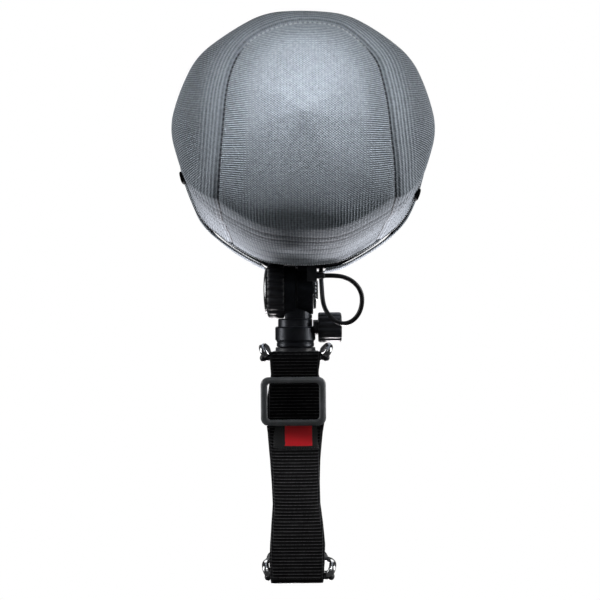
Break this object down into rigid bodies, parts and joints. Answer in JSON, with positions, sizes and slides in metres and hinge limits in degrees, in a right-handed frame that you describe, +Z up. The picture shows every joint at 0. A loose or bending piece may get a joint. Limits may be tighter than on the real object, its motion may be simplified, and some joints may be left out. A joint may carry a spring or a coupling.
{
  "type": "modular basket windshield",
  "caption": "Knitted basket windshield with slide-off pods on a tilting pistol handle with a webbing hand strap.",
  "frame": {"origin": "centre of the object's footprint at the foot of the handle, under the middle of the basket", "axes": "+Z up along the handle, -Y towards the front pod's nose, +X to the right of someone facing the nose"},
  "size_m": [0.1222, 0.264, 0.262],
  "materials": {
    "knit": "matte three-dimensional knit",
    "cage": "moulded, satin",
    "moulded": "moulded, fine grain",
    "anodised": "black anodised, turned",
    "steel": "bright, lightly polished",
    "brass": "plain turned",
    "grip": "matte",
    "webbing": "ribbed webbing",
    "label": "woven, satin",
    "lead": "smooth cable jacket"
  },
  "bodies": {
    "handle": {"base_cap": "anodised", "thread_insert": "brass", "handle_core": "anodised", "grip_sleeve": "grip", "handle_flange": "anodised", "pan_socket": "anodised", "strap_top_bracket": "steel", "strap_top_bar": "moulded", "strap_foot_bracket": "steel", "strap_foot_bar": "moulded", "hand_strap": "webbing", "strap_label": "label"},
    "slider": {"strap_slider": "moulded"},
    "thumb_screw_body": {"thumb_screw": "moulded"},
    "yoke": {"swivel_yoke": "anodised", "friction_washer": "steel"},
    "tilt_knob_body": {"tilt_knob": "moulded", "tilt_knob_cap": "moulded"},
    "head": {"swivel_head": "anodised", "tilt_bolt": "steel", "bolt_cap": "steel", "chassis_plate": "moulded", "chassis_rail": "moulded", "centre_frame": "moulded", "centre_skin": "knit", "lead_gland_front": "moulded", "lead_gland_rear": "moulded", "mic_lead": "lead"},
    "front_pod": {"front_pod_skin": "knit", "front_pod_cage": "cage", "front_pod_ring": "moulded", "front_pull_tab_left": "moulded", "front_pull_tab_right": "moulded"},
    "rear_pod": {"rear_pod_skin": "knit", "rear_pod_cage": "cage", "rear_pod_ring": "moulded", "rear_pull_tab_left": "moulded", "rear_pull_tab_right": "moulded"},
    "front_suspension": {"front_lyre": "moulded", "front_mic_clip": "grip"},
    "rear_suspension": {"rear_lyre": "moulded", "rear_mic_clip": "grip"}
  },
  "joints": [
    {"name": "pan", "type": "hinge", "parent": "handle", "child": "yoke", "pos_m": [-0.0046, 0, 0.12], "axis": [0, 0, 1], "range_deg": [-90, 90]},
    {"name": "tilt", "type": "hinge", "parent": "yoke", "child": "head", "pos_m": [0, 0, 0.142], "axis": [1, 0, 0], "range_deg": [-40, 40], "deforming": ["mic_lead"]},
    {"name": "tilt_knob_turn", "type": "hinge", "parent": "yoke", "child": "tilt_knob_body", "pos_m": [-0.0144, 0, 0.142], "axis": [1, 0, 0], "range_deg": [-180, 180]},
    {"name": "thumb_screw_turn", "type": "hinge", "parent": "handle", "child": "thumb_screw_body", "pos_m": [0.0072, 0, 0.123], "axis": [1, 0, 0], "range_deg": [-180, 180]},
    {"name": "strap_slide", "type": "slide", "parent": "handle", "child": "slider", "axis": [0, 0, 1], "range_m": [-0.045, 0.004]},
    {"name": "front_pod_pull", "type": "slide", "parent": "head", "child": "front_pod", "axis": [0, -1, 0], "range_m": [0, 0.11]},
    {"name": "rear_pod_pull", "type": "slide", "parent": "head", "child": "rear_pod", "axis": [0, 1, 0], "range_m": [0, 0.11]},
    {"name": "front_lyre_slide", "type": "slide", "parent": "head", "child": "front_suspension", "axis": [0, 1, 0], "range_m": [-0.02, 0.03]},
    {"name": "rear_lyre_slide", "type": "slide", "parent": "head", "child": "rear_suspension", "axis": [0, 1, 0], "range_m": [-0.03, 0.02]}
  ]
}
